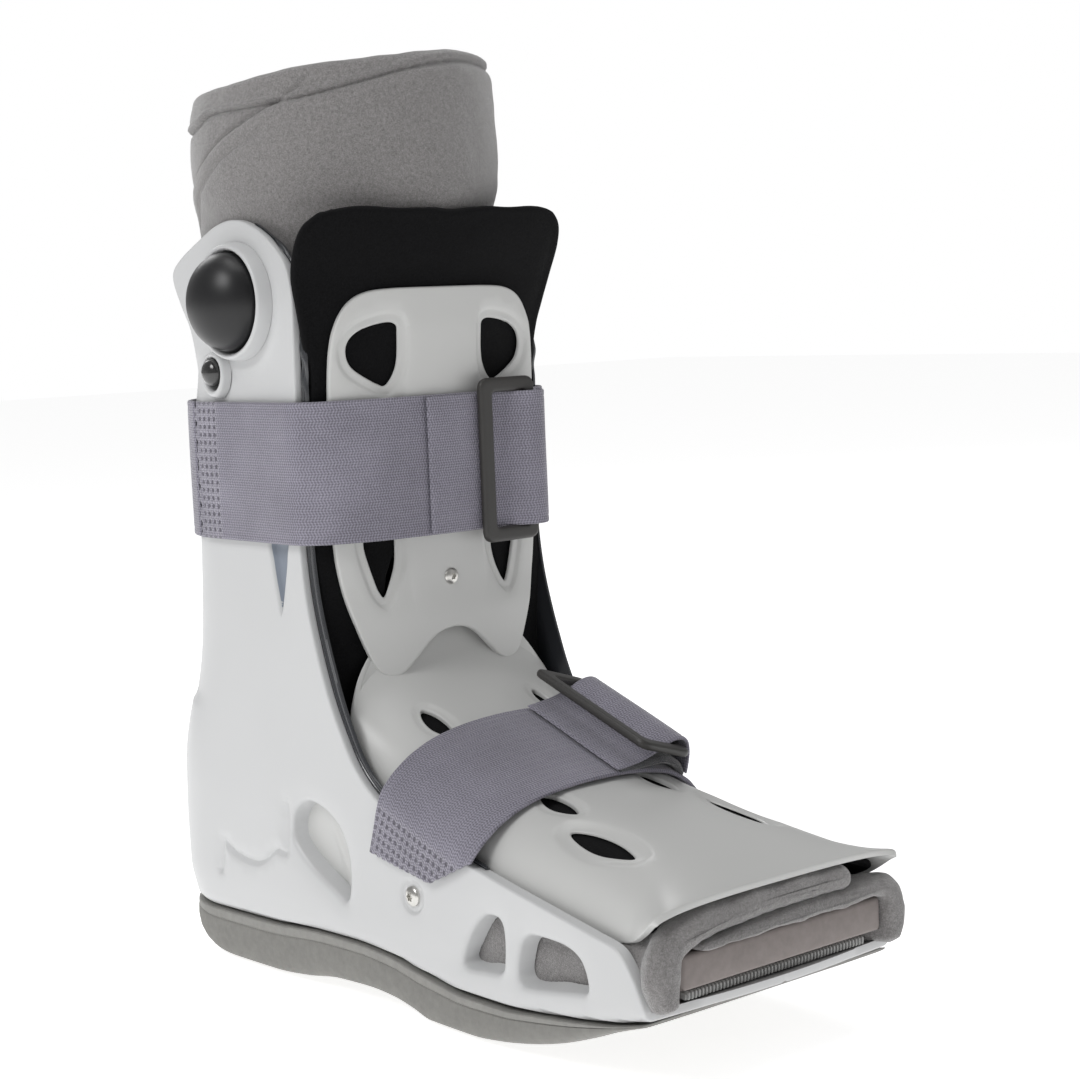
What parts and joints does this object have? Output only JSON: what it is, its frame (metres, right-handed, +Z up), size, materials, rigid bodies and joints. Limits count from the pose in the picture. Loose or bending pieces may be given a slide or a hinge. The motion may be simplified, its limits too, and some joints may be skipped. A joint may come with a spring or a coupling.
{
  "type": "ankle foot orthosis",
  "caption": "Short walker boot: a rigid rear shell with a padded felt liner, air cells with a hand pump, a hinged front panel, and two webbing straps with ring buckles.",
  "frame": {"origin": "on the ground, at the middle of the outsole's flat standing face, in the boot's plane of symmetry", "axes": "+Z up the leg, -Y towards the toe, +X towards the side without the pump"},
  "size_m": [0.1385, 0.299, 0.347],
  "materials": {
    "shell_plastic": "satin",
    "panel_plastic": "satin",
    "rubber": "matte",
    "felt": "brushed",
    "black_foam": "matte",
    "air_film": "gloss",
    "webbing": "woven",
    "hook_tape": "matte",
    "buckle_plastic": "satin",
    "black_rubber": "satin",
    "black_gloss": "gloss",
    "insole_foam": "matte",
    "nickel": "satin"
  },
  "bodies": {
    "shell": {"rear_shell": "shell_plastic", "outsole": "rubber", "insole": "insole_foam", "liner_leg": "felt", "liner_foot": "felt", "liner_flap_lower": "felt", "liner_flap_upper": "felt", "toe_hook_strip": "hook_tape", "air_cell_lateral": "air_film", "air_cell_medial": "air_film", "air_cell_rear": "air_film", "air_tube_side": "black_rubber", "air_tube_rear": "black_rubber", "pump_housing": "shell_plastic", "release_valve_collar": "shell_plastic", "upper_strap_rear": "webbing", "lower_strap_anchor": "webbing", "upper_hook_patch": "hook_tape", "lower_hook_patch": "hook_tape", "side_screw_lateral": "nickel", "side_screw_medial": "nickel"},
    "front_panel": {"dorsal_panel": "panel_plastic", "dorsal_pad": "black_foam", "tibia_panel": "panel_plastic", "tibia_pad": "black_foam", "tibia_rivet": "nickel"},
    "upper_strap": {"upper_strap": "webbing", "upper_strap_fold": "webbing"},
    "lower_strap": {"lower_strap": "webbing", "lower_strap_fold": "webbing"},
    "upper_buckle": {"upper_buckle": "buckle_plastic"},
    "lower_buckle": {"lower_buckle": "buckle_plastic"},
    "pump_bulb": {"pump_bulb": "black_rubber"},
    "release_button": {"release_button": "black_gloss"}
  },
  "joints": [
    {"name": "front_panel_open", "type": "hinge", "parent": "shell", "child": "front_panel", "pos_m": [0, -0.146, 0.06], "axis": [1, 0, 0], "range_deg": [0, 15]},
    {"name": "upper_strap_open", "type": "hinge", "parent": "shell", "child": "upper_strap", "pos_m": [0.061, 0.042, 0.1945], "axis": [0, 0, 1], "range_deg": [0, 90]},
    {"name": "lower_strap_open", "type": "hinge", "parent": "shell", "child": "lower_strap", "pos_m": [0.061, -0.03033, 0.07198], "axis": [0, 0.9373, 0.3486], "range_deg": [0, 165]},
    {"name": "upper_buckle_swing", "type": "hinge", "parent": "upper_strap", "child": "upper_buckle", "pos_m": [0.036, 0.0106, 0.1945], "axis": [0, 0, 1], "range_deg": [0, 55]},
    {"name": "lower_buckle_swing", "type": "hinge", "parent": "lower_strap", "child": "lower_buckle", "pos_m": [0.036, -0.04051, 0.09935], "axis": [0, 0.9373, 0.3486], "range_deg": [0, 50]},
    {"name": "bulb_press", "type": "slide", "parent": "shell", "child": "pump_bulb", "axis": [1, 0, 0], "range_m": [0, 0.006], "stiffness_N_per_m": 1200},
    {"name": "release_button_press", "type": "slide", "parent": "shell", "child": "release_button", "axis": [1, 0, 0], "range_m": [0, 0.0015], "stiffness_N_per_m": 900}
  ],
  "couplings": [
    {"joint": "upper_strap_open", "follows": "front_panel_open", "ratio": 6},
    {"joint": "lower_strap_open", "follows": "front_panel_open", "ratio": 11}
  ]
}
